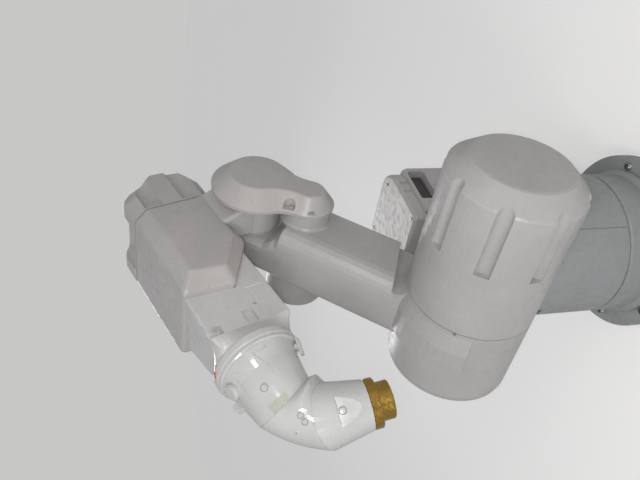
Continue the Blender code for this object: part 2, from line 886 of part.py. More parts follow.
turned(
    "elbow_cover_post",
    [
        (0.0, COVER_BACK_Y - SEAT),
        (LOBE_POST_R, COVER_BACK_Y - SEAT),
        (LOBE_POST_R, POST_START + POST_FLARE),
        (LOBE_POST_R + 0.3 * POST_FLARE, POST_START + 0.3 * POST_FLARE),
        (LOBE_POST_R + POST_FLARE, POST_START),
        (0.0, POST_START),
    ],
    ARM,
    "satin",
    at_lobe,
    steps=56,
)
MOTOR_FAR_Y = ARM_Y_RIGHT - MOTOR_LENGTH
turned(
    "elbow_motor_cover",
    [
        (0.0, ARM_Y_RIGHT - SEAT),
        (MOTOR_R + 0.006, ARM_Y_RIGHT - SEAT),
        (MOTOR_R + 0.006, ARM_Y_RIGHT - 0.012),
        (MOTOR_R, ARM_Y_RIGHT - 0.015),
        (MOTOR_R, MOTOR_FAR_Y + 0.018),
        (MOTOR_R - 0.005, MOTOR_FAR_Y + 0.006),
        (MOTOR_R - 0.018, MOTOR_FAR_Y),
        (0.0, MOTOR_FAR_Y),
    ],
    ARM,
    "satin",
    at_lobe,
    steps=64,
)
CAP_FAR_Y = ARM_Y_RIGHT - 0.020
turned(
    "elbow_bearing_cap",
    [
        (0.0, ARM_Y_RIGHT - SEAT),
        (BEARING_CAP_R, ARM_Y_RIGHT - SEAT),
        (BEARING_CAP_R, CAP_FAR_Y + 0.006),
        (BEARING_CAP_R - 0.006, CAP_FAR_Y),
        (BEARING_CAP_R * 0.55, CAP_FAR_Y),
        (BEARING_CAP_R * 0.50, CAP_FAR_Y + 0.004),
        (0.0, CAP_FAR_Y + 0.004),
    ],
    ARM,
    "satin",
    Matrix.Translation((0.0, 0.0, ARM_LENGTH)) @ along_y,
    steps=48,
)

# Forearm, in the frame of the elbow axis: X along it, Z its top.
house_points = [
    (HOUSE_BACK + SEAT, HOUSE_BOTTOM),
    (0.140, HOUSE_BOTTOM),
    (0.287, 0.222),
    (0.270, HOUSE_TOP),
    (HOUSE_BACK + SEAT, HOUSE_TOP),
]


def chamfered_prism(points, half, chamfer, y_middle, inset):
    """Rings of a prism across Y whose two ends step in by the inset; points run along X and Z."""
    return loft(
        [
            [(x, y_middle - half, z) for x, z in inset],
            [(x, y_middle - half + chamfer, z) for x, z in points],
            [(x, y_middle + half - chamfer, z) for x, z in points],
            [(x, y_middle + half, z) for x, z in inset],
        ]
    )


house_inset = [
    (HOUSE_BACK + SEAT, HOUSE_BOTTOM + HOUSE_CHAMFER),
    (0.140 - 0.013, HOUSE_BOTTOM + HOUSE_CHAMFER),
    (0.287 - 0.040, 0.222 + 0.014),
    (0.270 - 0.042, HOUSE_TOP - HOUSE_CHAMFER),
    (HOUSE_BACK + SEAT, HOUSE_TOP - HOUSE_CHAMFER),
]
house = give(
    "forearm_housing",
    chamfered_prism(house_points, HOUSE_HALF, HOUSE_CHAMFER, HOUSE_Y, house_inset),
    ELBOW,
    "cover",
)
bevel(house, HOUSE_ROUND, 2, 20.0)
HUB_RIGHT_Y = PRONG_LEFT_Y + SEAT
HUB_LEFT_Y = COVER_BACK_Y - SEAT
hub_mesh = bpy.data.meshes.new("hub")
hub_profile = [
    (0.0, HUB_LEFT_Y),
    (HUB_R, HUB_LEFT_Y),
    (HUB_R, HUB_RIGHT_Y + 3 * SEAL_GROOVE),
    (HUB_R - SEAL_GROOVE, HUB_RIGHT_Y + 3 * SEAL_GROOVE),
    (HUB_R - SEAL_GROOVE, HUB_RIGHT_Y + SEAL_GROOVE),
    (HUB_R, HUB_RIGHT_Y + SEAL_GROOVE),
    (HUB_R, HUB_RIGHT_Y),
    (0.0, HUB_RIGHT_Y),
]
hub_mesh.from_pydata(
    [(r, 0.0, y) for r, y in hub_profile], [(i, i + 1) for i in range(len(hub_profile) - 1)], []
)
hub = helper("hub", hub_mesh, ELBOW, along_y)
hub_turn = hub.modifiers.new("turn", "SCREW")
hub_turn.axis = "Z"
hub_turn.steps = 64
hub_turn.render_steps = 64
hub_turn.use_merge_vertices = True
hub_turn.merge_threshold = 0.00005


def web_ring(t, half_x, left):
    return [
        (-half_x, HUB_RIGHT_Y + 4 * SEAL_GROOVE, t),
        (half_x, HUB_RIGHT_Y + 4 * SEAL_GROOVE, t),
        (half_x, left - 0.010, t),
        (half_x - 0.004, left - 0.003, t),
        (half_x - 0.010, left, t),
        (-half_x, left, t),
    ]


HOUSE_LEFT = HOUSE_Y + HOUSE_HALF
WEB_HALF = -HOUSE_BACK - 0.0015
web = helper(
    "web",
    loft(
        [
            web_ring(-0.020, WEB_HALF - 0.002, HUB_LEFT_Y - 0.004),
            web_ring(0.055, WEB_HALF, HUB_LEFT_Y - 0.003),
            web_ring(0.085, WEB_HALF, HUB_LEFT_Y - 0.008),
            web_ring(HOUSE_BOTTOM, WEB_HALF, HUB_LEFT_Y - 0.020),
            web_ring(HOUSE_BOTTOM + HOUSE_CHAMFER, WEB_HALF, HOUSE_LEFT + 0.0006),
            web_ring(HOUSE_BOTTOM + HOUSE_CHAMFER + 0.025, WEB_HALF, HOUSE_LEFT - 0.004),
        ]
    ),
    ELBOW,
)
join(house, hub, "UNION")
join(house, web, "UNION")

def cap_outline(inset):
    """Side view of the rear cap; inset pulls its top, bottom and rear in by one amount."""
    return [
        (HOUSE_BACK, HOUSE_BOTTOM + inset),
        (HOUSE_BACK, HOUSE_TOP - inset),
        (CAP_TOP_S + 0.5 * inset, HOUSE_TOP - inset),
        (CAP_TOP_S - 0.022 + 0.6 * inset, HOUSE_TOP - 0.010 - 0.9 * inset),
        (CAP_TOP_S - 0.048 + 0.6 * inset, HOUSE_TOP - 0.036 - 0.7 * inset),
        (CAP_BACK + 0.008 + 0.4 * inset, CAP_BACK_HIGH + 0.026 - 0.3 * inset),
        (CAP_BACK + 0.3 * inset, CAP_BACK_HIGH),
        (CAP_BACK + 0.3 * inset, CAP_BACK_LOW),
        (CAP_BACK + 0.010 + 0.4 * inset, CAP_BACK_LOW - 0.028 + 0.3 * inset),
        (CAP_BOTTOM_S - 0.022 + 0.6 * inset, HOUSE_BOTTOM + 0.014 + 0.8 * inset),
        (CAP_BOTTOM_S + 0.5 * inset, HOUSE_BOTTOM + inset),
    ]


cap = give(
    "forearm_rear_cap",
    chamfered_prism(
        cap_outline(0.0), HOUSE_HALF, HOUSE_CHAMFER, HOUSE_Y, cap_outline(HOUSE_CHAMFER)
    ),
    ELBOW,
    "cover",
)
CAP_FLUTES = (
    (CAP_FLUTE_HIGH_T, CAP_FLUTE_HIGH_R, CAP_FLUTE_HIGH_DEPTH),
    (CAP_FLUTE_LOW_T, CAP_FLUTE_LOW_R, CAP_FLUTE_LOW_DEPTH),
)
for k, (t, radius, depth) in enumerate(CAP_FLUTES):
    for side in (-1, 1):
        y = HOUSE_Y + side * (HOUSE_HALF + radius - depth)
        flute = cylinder(radius, CAP_BACK - 0.1, HOUSE_BACK - 0.004, "X", (y, t), 32)
        join(cap, helper("cap_flute_%d_%d" % (k, side), flute, ELBOW))
top_recess = helper(
    "cap_top_recess",
    box(
        (CAP_BACK - 0.1, HOUSE_Y - HOUSE_HALF + HOUSE_CHAMFER + CAP_TOP_LAND, HOUSE_TOP - CAP_TOP_RECESS),
        (HOUSE_BACK - 0.004, HOUSE_Y + HOUSE_HALF - HOUSE_CHAMFER - CAP_TOP_LAND, HOUSE_TOP + 0.1),
    ),
    ELBOW,
)
bevel(top_recess, 0.018, 3)
join(cap, top_recess)


def tube_ring(s, half_w, low, high, drop, edge, middle_y, along=15):
    """A rectangle with small cut corners, its right side lower by the drop."""
    found = []
    corners = [
        (middle_y + half_w, low + edge),
        (middle_y + half_w, high - edge),
        (middle_y + half_w - edge, high),
        (middle_y - half_w + edge, high - drop),
        (middle_y - half_w, high - drop - edge),
        (middle_y - half_w, low + edge),
        (middle_y - half_w + edge, low),
        (middle_y + half_w - edge, low),
    ]
    for k in range(4):
        y0, z0 = corners[2 * k]
        y1, z1 = corners[2 * k + 1]
        for i in range(along + 1):
            share = i / along
            found.append((s, y0 + (y1 - y0) * share, z0 + (z1 - z0) * share))
    return found


def round_ring(s, radius, middle_y, middle_z, like):
    """A circle whose points lie at the angles of another ring's points."""
    found = []
    for _, y, z in like:
        turn = math.atan2(z - middle_z, y - middle_y)
        found.append((s, middle_y + radius * math.cos(turn), middle_z + radius * math.sin(turn)))
    return found


tube_start = tube_ring(
    TUBE_START, TUBE_HALF, TUBE_BOTTOM, TUBE_TOP, TUBE_DROP_START, TUBE_EDGE, TUBE_Y
)
tube_end = tube_ring(
    TUBE_END, TUBE_HALF, TUBE_BOTTOM, TUBE_TOP, TUBE_DROP_END, TUBE_EDGE, TUBE_Y
)
COLLAR_FACE = RING_S - SEAT
neck_end = round_ring(COLLAR_START, COLLAR_R - COLLAR_ROUND * 0.4, ROLL_Y, ROLL_T, tube_end)
neck_rings = []
for k in range(1, NECK_STEPS):
    share = k / NECK_STEPS
    neck_rings.append(
        [tuple(Vector(a).lerp(Vector(b), share)) for a, b in zip(tube_end, neck_end)]
    )
tube = give(
    "forearm_tube",
    loft(
        [
            tube_start,
            tube_end,
            *neck_rings,
            neck_end,
            round_ring(COLLAR_START + COLLAR_ROUND, COLLAR_R, ROLL_Y, ROLL_T, tube_end),
            round_ring(COLLAR_FACE - COLLAR_ROUND, COLLAR_R, ROLL_Y, ROLL_T, tube_end),
            round_ring(
                COLLAR_FACE - COLLAR_ROUND * 0.3,
                COLLAR_R - COLLAR_ROUND * 0.3,
                ROLL_Y,
                ROLL_T,
                tube_end,
            ),
            round_ring(COLLAR_FACE, COLLAR_R - COLLAR_ROUND, ROLL_Y, ROLL_T, tube_end),
        ]
    ),
    ELBOW,
    "cover",
)
house_space = helper(
    "house_space",
    outline(
        [
            (0.0, HOUSE_BOTTOM - SEAT),
            (0.140 + SEAT, HOUSE_BOTTOM - SEAT),
            (0.287 + SEAT, 0.222),
            (0.270 + SEAT, HOUSE_TOP + SEAT),
            (0.0, HOUSE_TOP + SEAT),
        ],
        "Y",
        HOUSE_Y,
    ),
    ELBOW,
)
thicken(house_space, 0.5)
join(tube, house_space)
TUBE_LEFT = TUBE_Y + TUBE_HALF
for name, low, high in (
    (
        "pocket_low",
        (0.376, TUBE_LEFT - POCKET_DEPTH, 0.221),
        (TUBE_END - 0.0015, TUBE_LEFT + 0.1, 0.254),
    ),
    (
        "pocket_high",
        (0.394, TUBE_LEFT - 2 * POCKET_DEPTH, 0.330),
        (TUBE_END - 0.0015, TUBE_LEFT + 0.1, TUBE_TOP + 0.1),
    ),
    (
        "panel_recess",
        (0.300, TUBE_LEFT - PANEL_DEPTH, 0.140),
        (0.423, TUBE_LEFT + 0.1, 0.199),
    ),
):
    cut = helper(name, box(low, high), ELBOW)
    bevel(cut, 0.0015 if name == "panel_recess" else 0.004, 2)
    join(tube, cut)

# Wrist: roll section, bending section, counter section and tool flange.
turned(
    "wrist_ring",
    [
        (0.0, RING_THICK),
        (RING_R - 0.004, RING_THICK),
        (RING_R, RING_THICK - 0.004),
        (RING_R, 0.0),
        (0.0, 0.0),
    ],
    ROLL,
    "gloss",
    steps=72,
)


def disc(centre, normal, radius, count=56):
    """A ring of points on a tilted circle; the first points towards local X."""
    normal = Vector(normal).normalized()
    across = Vector((0.0, 1.0, 0.0))
    first = across.cross(normal).normalized()
    found = []
    for i in range(count):
        angle = 2 * math.pi * i / count
        found.append(
            Vector(centre) + radius * (math.cos(angle) * first + math.sin(angle) * across)
        )
    return found


def bent(start, end, steps, gap_start=0.0, gap_end=0.0, swell=0.0):
    """Rings between two tilted circles, each (height on the tube's axis, normal, radius)."""
    rings = []
    for k in range(steps + 1):
        f = k / steps
        height = start[0] + (end[0] - start[0]) * f
        normal = Vector(start[1]).lerp(Vector(end[1]), f).normalized()
        radius = start[2] + (end[2] - start[2]) * f + swell * math.sin(math.pi * f)
        centre = Vector((0.0, 0.0, height))
        if k == 0:
            centre += normal * gap_start
        if k == steps:
            centre -= normal * gap_end
        rings.append(disc(centre, normal, radius))
    return rings


def at_turn(degrees, radius, height):
    """Frame on the wrist's skin: local X out of the skin, local Z along the tube."""
    turn = math.radians(degrees)
    spot = Vector((radius * math.cos(turn), radius * math.sin(turn), height))
    return Matrix.Translation(spot) @ Matrix.Rotation(turn, 4, "Z")


UP = Vector((0.0, 0.0, 1.0))
section_1 = give(
    "wrist_section_1",
    loft(
        bent((RING_THICK + SEAT, UP, SECTION_1_R), (SECTION_1_NECK, UP.lerp(SEAM_1_NORMAL, 0.3), SECTION_1_NECK_R), 2)
        + bent(
            (SECTION_1_NECK, UP.lerp(SEAM_1_NORMAL, 0.3), SECTION_1_NECK_R),
            (SECTION_1_LENGTH, SEAM_1_NORMAL, SEAM_1_R),
            4,
            gap_end=SEAT,
        )[1:]
    ),
    ROLL,
    "gloss",
)
boss = helper(
    "boss",
    cylinder(BOSS_R, -0.030, BOSS_RISE, "X", (0.0, 0.0), 32),
    ROLL,
    at_turn(BOSS_DEG, SECTION_1_NECK_R, BOSS_HEIGHT) @ Matrix.Rotation(BOSS_LEAN, 4, "Y"),
)
bevel(boss, BOSS_RISE * 0.45, 3)
join(section_1, boss, "UNION")
lug = helper(
    "lug",
    box((-0.030, -LUG_THICK / 2, -LUG_WIDTH / 2), (LUG_REACH, LUG_THICK / 2, LUG_WIDTH / 2)),
    ROLL,
    at_turn(LUG_DEG, SKIN_MIDDLE_R, LUG_HEIGHT) @ Matrix.Rotation(SKIN_LEAN, 4, "Y"),
)
bevel(lug, LUG_THICK * 0.25, 2)
join(section_1, lug, "UNION")
bar_place = at_turn(
    BAR_DEG, SECTION_1_NECK_R + 0.003 + BAR_STAND_OFF, BAR_HEIGHT
) @ Matrix.Rotation(SKIN_LEAN, 4, "Y")
bar_post = helper(
    "bar_post",
    box((-0.045, -BAR_POST / 2, -BAR_POST / 2), (0.0, BAR_POST / 2, BAR_POST / 2)),
    ROLL,
    bar_place,
)
join(section_1, bar_post, "UNION")
bar = helper(
    "bar",
    box(
        (-BAR_THICK / 2, -BAR_WIDTH / 2, -BAR_LENGTH / 2),
        (BAR_THICK / 2, BAR_WIDTH / 2, BAR_LENGTH / 2),
    ),
    ROLL,
    bar_place,
)
bevel(bar, BAR_THICK * 0.25, 2)
join(section_1, bar, "UNION")
give(
    "wrist_section_2",
    loft(
        bent(
            (0.0, SEAM_1_NORMAL, SEAM_1_R),
            (SECTION_2_LENGTH, SEAM_2_NORMAL, SEAM_2_R),
            6,
            gap_end=SEAT,
            swell=0.003,
        )
    ),
    BEND,
    "gloss",
)
section_3 = give(
    "wrist_section_3",
    loft(
        bent(
            (0.0, SEAM_2_NORMAL, SEAM_2_R),
            (SECTION_3_LENGTH, UP, CONE_END_R),
            6,
            gap_end=SEAT,
        )
    ),
    COUNTER,
    "gloss",
)
pad_lean = math.atan2(PAD_FOOT_R - PAD_FLAT, PAD_END - PAD_TOP)
pad_space = helper(
    "pad_space",
    box((0.0, -0.2, 0.0), (0.2, 0.2, 0.2)),
    COUNTER,
    at_turn(PAD_DEG, PAD_FLAT, PAD_TOP) @ Matrix.Rotation(pad_lean, 4, "Y"),
)
join(section_3, pad_space)
turned(
    "tool_flange",
    [
        (0.0, FLANGE_LENGTH),
        (FLANGE_R - 0.002, FLANGE_LENGTH),
        (FLANGE_R, FLANGE_LENGTH - 0.002),
        (FLANGE_R, 0.002),
        (FLANGE_R - 0.002, 0.0),
        (0.0, 0.0),
    ],
    TOOL,
    "brass",
    steps=64,
)
turned(
    "tool_adapter",
    [
        (0.0, FLANGE_LENGTH + ADAPTER_LENGTH),
        (ADAPTER_R - 0.002, FLANGE_LENGTH + ADAPTER_LENGTH),
        (ADAPTER_R, FLANGE_LENGTH + ADAPTER_LENGTH - 0.002),
        (ADAPTER_R, FLANGE_LENGTH + SEAT),
        (0.0, FLANGE_LENGTH + SEAT),
    ],
    TOOL,
    "brass",
    steps=64,
)

bpy.context.view_layer.update()
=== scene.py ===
"""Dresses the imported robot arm: paints, brass, plugs, screws, ridges, floor, light and the photo's camera."""

import json
import math

import bmesh
import bpy
from mathutils import Matrix, Vector
from mathutils.bvhtree import BVHTree


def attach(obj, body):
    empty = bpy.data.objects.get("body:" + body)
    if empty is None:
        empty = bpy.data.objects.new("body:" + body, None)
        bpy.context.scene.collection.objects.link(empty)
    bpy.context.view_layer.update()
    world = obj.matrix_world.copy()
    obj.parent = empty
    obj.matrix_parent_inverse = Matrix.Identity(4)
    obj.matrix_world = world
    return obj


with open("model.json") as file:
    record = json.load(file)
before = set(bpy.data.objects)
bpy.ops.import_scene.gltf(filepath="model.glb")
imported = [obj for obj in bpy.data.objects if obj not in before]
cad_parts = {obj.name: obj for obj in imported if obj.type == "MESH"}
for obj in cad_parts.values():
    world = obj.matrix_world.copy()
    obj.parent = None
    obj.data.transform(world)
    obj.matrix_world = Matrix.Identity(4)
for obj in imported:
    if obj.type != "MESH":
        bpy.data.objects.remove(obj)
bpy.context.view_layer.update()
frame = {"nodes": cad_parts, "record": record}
NODES = frame["nodes"]
JOINTS = {joint["name"]: joint for joint in frame["record"]["behaviour"]["joints"]}


# Camera: the photograph lies on its side, so the picture's left is up.
CAMERA_AT = Vector((1.3057, 1.1874, 1.5169))
FORWARD = Vector((-0.7263, -0.6291, -0.2773)).normalized()
UPRIGHT_RIGHT = Vector((-0.6450, 0.7631, -0.0419)).normalized()
UPRIGHT_UP = Vector((-0.2380, -0.1484, 0.9600)).normalized()
lens = bpy.data.cameras.new("camera")
lens.lens = 37.16
lens.sensor_width = 36.0
lens.sensor_fit = "HORIZONTAL"
lens.clip_start = 0.02
camera = bpy.data.objects.new("camera", lens)
bpy.context.scene.collection.objects.link(camera)
turned = Matrix((-UPRIGHT_UP, UPRIGHT_RIGHT, -FORWARD)).transposed().to_4x4()
camera.matrix_world = Matrix.Translation(CAMERA_AT) @ turned
bpy.context.scene.camera = camera


class Nodes:
    """Short calls for building one material's node tree."""

    def __init__(self, name):
        self.material = bpy.data.materials.new(name)
        self.material.use_nodes = True
        self.tree = self.material.node_tree
        self.shader = self.tree.nodes["Principled BSDF"]
        self.place = self.add("ShaderNodeTexCoord").outputs["Object"]

    def add(self, kind, **settings):
        node = self.tree.nodes.new(kind)
        for key, value in settings.items():
            setattr(node, key, value)
        return node

    def feed(self, socket, value):
        if isinstance(value, bpy.types.NodeSocket):
            self.tree.links.new(value, socket)
        else:
            socket.default_value = value

    def noise(self, scale, detail=3.0, roughness=0.55, stretch=None):
        node = self.add("ShaderNodeTexNoise")
        place = self.place
        if stretch:
            mapping = self.add("ShaderNodeMapping")
            mapping.inputs["Scale"].default_value = stretch
            self.feed(mapping.inputs["Vector"], place)
            place = mapping.outputs["Vector"]
        self.feed(node.inputs["Vector"], place)
        node.inputs["Scale"].default_value = scale
        node.inputs["Detail"].default_value = detail
        node.inputs["Roughness"].default_value = roughness
        return node.outputs["Fac"]

    def span(self, value, low, high, to_low=0.0, to_high=1.0):
        node = self.add("ShaderNodeMapRange")
        self.feed(node.inputs["Value"], value)
        for key, number in (
            ("From Min", low), ("From Max", high), ("To Min", to_low), ("To Max", to_high)
        ):
            self.feed(node.inputs[key], number)
        return node.outputs["Result"]

    def math(self, operation, a, b=0.0):
        node = self.add("ShaderNodeMath", operation=operation)
        self.feed(node.inputs[0], a)
        self.feed(node.inputs[1], b)
        return node.outputs[0]

    def mix(self, amount, a, b):
        node = self.add("ShaderNodeMix", data_type="RGBA")
        self.feed(node.inputs["Factor"], amount)
        self.feed(node.inputs[6], a if isinstance(a, bpy.types.NodeSocket) else (*a, 1.0))
        self.feed(node.inputs[7], b if isinstance(b, bpy.types.NodeSocket) else (*b, 1.0))
        return node.outputs[2]

    def bump(self, height, strength, distance, normal=None):
        node = self.add("ShaderNodeBump")
        self.feed(node.inputs["Height"], height)
        node.inputs["Strength"].default_value = strength
        node.inputs["Distance"].default_value = distance
        if normal is not None:
            self.feed(node.inputs["Normal"], normal)
        return node.outputs["Normal"]

    def edges(self, radius, low, high):
        """1 on outer edges and on inner creases alike, 0 on open surface."""
        soft = self.add("ShaderNodeBevel", samples=4)
        soft.inputs["Radius"].default_value = radius
        geometry = self.add("ShaderNodeNewGeometry")
        product = self.add("ShaderNodeVectorMath", operation="DOT_PRODUCT")
        self.feed(product.inputs[0], soft.outputs["Normal"])
        self.feed(product.inputs[1], geometry.outputs["Normal"])
        return self.span(product.outputs["Value"], high, low)


def paint(name, colour, roughness, dust=0.25, wear=0.35, peel=0.05, stains=0.2, coat=0.15, clear=0.2):
    """Sprayed enamel: slight orange peel, cloudy tone, dust, stains, scuffs, and thin dark edges: wear on outer
    edges, painted shade in inner creases.
    """
    look = Nodes(name)
    cloud = look.noise(5.5, 4.0, 0.6)
    fine = look.noise(46.0, 5.0, 0.65)
    darker = tuple(c * 0.93 for c in colour)
    lighter = tuple(min(1.0, c * 1.04) for c in colour)
    tone = look.mix(look.span(cloud, 0.35, 0.65), darker, lighter)
    dusty = tuple(c * 0.78 + d for c, d in zip(colour, (0.052, 0.040, 0.026)))
    dust_amount = look.math("MULTIPLY", look.span(fine, 0.50, 0.72), dust)
    tone = look.mix(dust_amount, tone, dusty)
    streaks = look.noise(13.0, 6.0, 0.7, (1.0, 1.0, 0.35))
    stain = look.math("MULTIPLY", look.span(streaks, 0.60, 0.72), stains)
    tone = look.mix(stain, tone, tuple(c * 0.62 for c in colour))
    specks = look.math("MULTIPLY", look.span(look.noise(150.0, 2.0, 0.5), 0.715, 0.735), 0.55)
    tone = look.mix(specks, tone, tuple(c * 0.45 for c in colour))
    scratch = look.noise(38.0, 2.0, 0.4, (0.25, 1.0, 3.5))
    scuffed = look.math("MULTIPLY", look.span(scratch, 0.735, 0.75), wear)
    tone = look.mix(scuffed, tone, tuple(min(1.0, c * 1.35) for c in colour))
    # Thin darkening along edges: wear on outer edges, and painted shade in inner creases, which the bevel test
    # catches as well.
    edge_wear_crease_shade = look.math("MULTIPLY", look.edges(0.004, 0.80, 0.97), look.span(fine, 0.45, 0.62, 0.0, wear))
    tone = look.mix(edge_wear_crease_shade, tone, (0.25, 0.25, 0.25))
    look.feed(look.shader.inputs["Base Color"], tone)
    rough = look.math("ADD", look.span(fine, 0.3, 0.7, roughness - 0.05, roughness + 0.07), dust_amount)
    look.feed(look.shader.inputs["Roughness"], look.math("MINIMUM", rough, 0.85))
    look.shader.inputs["Coat Weight"].default_value = coat
    look.shader.inputs["Coat Roughness"].default_value = clear
    grain = look.noise(420.0, 2.0, 0.5)
    ripple = look.bump(look.noise(60.0, 2.0, 0.4), peel, 0.002)
    look.feed(look.shader.inputs["Normal"], look.bump(grain, peel * 2, 0.0004, ripple))
    return look.material


def metal(name, colour, roughness, dirt=(0.10, 0.06, 0.03), dirty=0.35, turned_on=None):
    """Machined metal: fine tool marks, in rings about an axis where it is turned, dull spots and grime."""
    look = Nodes(name)
    if turned_on:
        along = look.add("ShaderNodeVectorMath", operation="DOT_PRODUCT")
        look.feed(along.inputs[0], look.place)
        along.inputs[1].default_value = turned_on
        rings = look.add("ShaderNodeTexNoise", noise_dimensions="1D")
        look.feed(rings.inputs["W"], along.outputs["Value"])
        rings.inputs["Scale"].default_value = 900.0
        rings.inputs["Detail"].default_value = 3.0
        cut = rings.outputs["Fac"]
    else:
        cut = look.noise(300.0, 3.0, 0.6)
    spots = look.noise(31.0, 6.0, 0.7)
    tone = look.mix(look.span(cut, 0.3, 0.7), tuple(c * 0.86 for c in colour), colour)
    grime = look.math("MULTIPLY", look.span(spots, 0.50, 0.66), dirty)
    tone = look.mix(grime, tone, dirt)
    look.feed(look.shader.inputs["Base Color"], tone)
    look.shader.inputs["Metallic"].default_value = 1.0
    rough = look.math("ADD", look.span(cut, 0.3, 0.7, roughness - 0.06, roughness + 0.08), grime)
    look.feed(look.shader.inputs["Roughness"], look.math("MINIMUM", rough, 0.8))
    look.feed(look.shader.inputs["Normal"], look.bump(cut, 0.25, 0.0003))
    return look.material


FINISHES = {
    "satin_paint": paint("satin paint", (0.415, 0.405, 0.400), 0.40),
    "cover_paint": paint("cover paint", (0.430, 0.415, 0.405), 0.38),
    "gloss_paint": paint(
        "gloss paint", (0.55, 0.555, 0.54), 0.15, dust=0.08, peel=0.012, stains=0.08, coat=0.7, clear=0.06
    ),
    "column_paint": paint("column paint", (0.27, 0.285, 0.285), 0.48, dust=0.5, stains=0.4),
    "brass": metal(
        "brass", (0.50, 0.31, 0.075), 0.20, dirt=(0.30, 0.165, 0.035), dirty=0.25,
        turned_on=JOINTS["tool_turn"]["axis"],
    ),
    "steel": metal("steel", (0.50, 0.50, 0.51), 0.34),
    "dark_plastic": paint("dark plastic", (0.035, 0.035, 0.037), 0.48, dust=0.35, wear=0.1),
}
TAPE = paint("red tape", (0.52, 0.035, 0.022), 0.42, dust=0.3, wear=0.2)
# Near-black painted shade for socket floors and a screw's moat. Through the defaults of studs it also covers
# the foot bolts' tops, the inserts' faces and one domed cap's crown.
DARK = paint("dark socket shade", (0.045, 0.043, 0.040), 0.6, dust=0.3, wear=0.1)
# Mid-grey painted shade for the plugs' moats and the thin plate's rim, standing in for the shade in those
# hollows and along that edge.
GREY_SHADE = paint("painted moat and rim shade", (0.33, 0.325, 0.31), 0.5, dust=0.3, wear=0.1)
TUBE = paint("tube paint", (0.565, 0.56, 0.55), 0.30, dust=0.15, stains=0.12, coat=0.3)
PLATE = paint("plate paint", (0.47, 0.475, 0.41), 0.35, dust=0.5, stains=0.3)
ZINC = metal("zinc plate", (0.52, 0.52, 0.50), 0.32, dirty=0.5)
for part in frame["record"]["subparts"]:
    node = NODES[part["node"]]
    finish = FINISHES[part["material_slot"]]
    if part["node"] == "forearm_tube":
        finish = TUBE
    if part["node"] == "rear_housing":
        finish = FINISHES["cover_paint"]
    node.data.materials.clear()
    node.data.materials.append(finish)


# Frames at rest, worked out from the record's joints: Z runs along the piece, X is where azimuth 0 points.
LEFT = Vector((0.0, 1.0, 0.0))


def place_of(joint):
    return Vector(JOINTS[joint]["pos_m"])


def axis_of(joint):
    return Vector(JOINTS[joint]["axis"]).normalized()


def frame_of(x, z, at):
    return Matrix.Translation(at) @ Matrix((x, z.cross(x), z)).transposed().to_4x4()


def seam_frame(seam, z, at, sign=1.0):
    """A wrist section's frame: X is the part of a seam's axis that is square to the section."""
    tilted = axis_of(seam)
    return frame_of((tilted - z * tilted.dot(z)).normalized() * sign, z, place_of(at))


SECTION_2_WAY = (place_of("counter") - place_of("bend")).normalized()
ARM_WAY = (place_of("elbow") - place_of("shoulder")).normalized()
FOREARM_WAY = axis_of("roll")
ROLL = seam_frame("bend", FOREARM_WAY, "roll")
BEND = seam_frame("bend", SECTION_2_WAY, "bend")
COUNTER = seam_frame("counter", axis_of("tool_turn"), "counter", -1.0)
SHOULDER = frame_of(LEFT.cross(ARM_WAY), ARM_WAY, place_of("shoulder"))
ELBOW = frame_of(FOREARM_WAY, FOREARM_WAY.cross(LEFT), place_of("elbow"))
WORLD = Matrix.Identity(4)
SKINS = {}


def touch(node, start, towards):
    """Where a straight line first meets a node's surface, and the outward normal there."""
    if node not in SKINS:
        mesh = NODES[node].data
        points = [v.co.copy() for v in mesh.vertices]
        SKINS[node] = BVHTree.FromPolygons(points, [tuple(p.vertices) for p in mesh.polygons])
    step = (towards - start).normalized()
    place, normal = SKINS[node].ray_cast(start, step)[:2]
    if place is None:
        raise ValueError("no surface of %s there" % node)
    return place, (normal if normal.dot(step) < 0 else -normal)


def round_touch(node, axis, degrees, height):
    """The surface seen from outside at an azimuth and height of a joint's frame."""
    turn = math.radians(degrees)
    out = Vector((math.cos(turn), math.sin(turn), 0.0))
    middle = Vector((0.0, 0.0, height))
    return touch(node, axis @ (middle + out * 0.5), axis @ middle)


def side_touch(node, axis, point, direction):
    """The surface met when coming from outside, against a direction of a frame."""
    way = (axis.to_3x3() @ Vector(direction)).normalized()
    goal = axis @ Vector(point)
    return touch(node, goal + way * 0.5, goal)


def upright(place, normal):
    """A frame on the surface, with Z outwards."""
    return Matrix.Translation(place) @ normal.to_track_quat("Z", "Y").to_matrix().to_4x4()


def lathe(bm, matrix, rings, dark, steps=24):
    """Rings of (radius, height, hexagonal) joined into one closed form.

    The bands between rings that dark names get the second material, and -1 names the top.
    """
    made = []
    for radius, height, six in rings:
        ring = []
        for k in range(steps):
            turn = 2 * math.pi * k / steps
            reach = radius
            if six:
                reach *= math.cos(math.pi / 6) / math.cos((turn % (math.pi / 3)) - math.pi / 6)
            spot = Vector((reach * math.cos(turn), reach * math.sin(turn), height))
            ring.append(bm.verts.new(matrix @ spot))
        made.append(ring)
    for band_at, (low, high) in enumerate(zip(made, made[1:])):
        for k in range(steps):
            face = bm.faces.new((low[k], low[(k + 1) % steps], high[(k + 1) % steps], high[k]))
            face.material_index = 1 if band_at in dark else 0
    bm.faces.new(made[0][::-1])
    bm.faces.new(made[-1]).material_index = 1 if -1 in dark else 0


def cap_screw(radius):
    """A socket head: round, a little proud, with a hexagonal hole."""
    top = 1.05 * radius
    return [
        (radius, -0.0004, False), (radius, top - 0.14 * radius, False), (0.88 * radius, top, False),
        (0.58 * radius, top, True), (0.58 * radius, 0.4 * top, True),
    ]


def low_screw(radius):
    """A low socket head, nearly sunk in its seat."""
    return [
        (radius, -0.0004, False), (radius, 0.22 * radius, False), (0.88 * radius, 0.34 * radius, False),
        (0.54 * radius, 0.36 * radius, True), (0.54 * radius, 0.08 * radius, True),
    ]


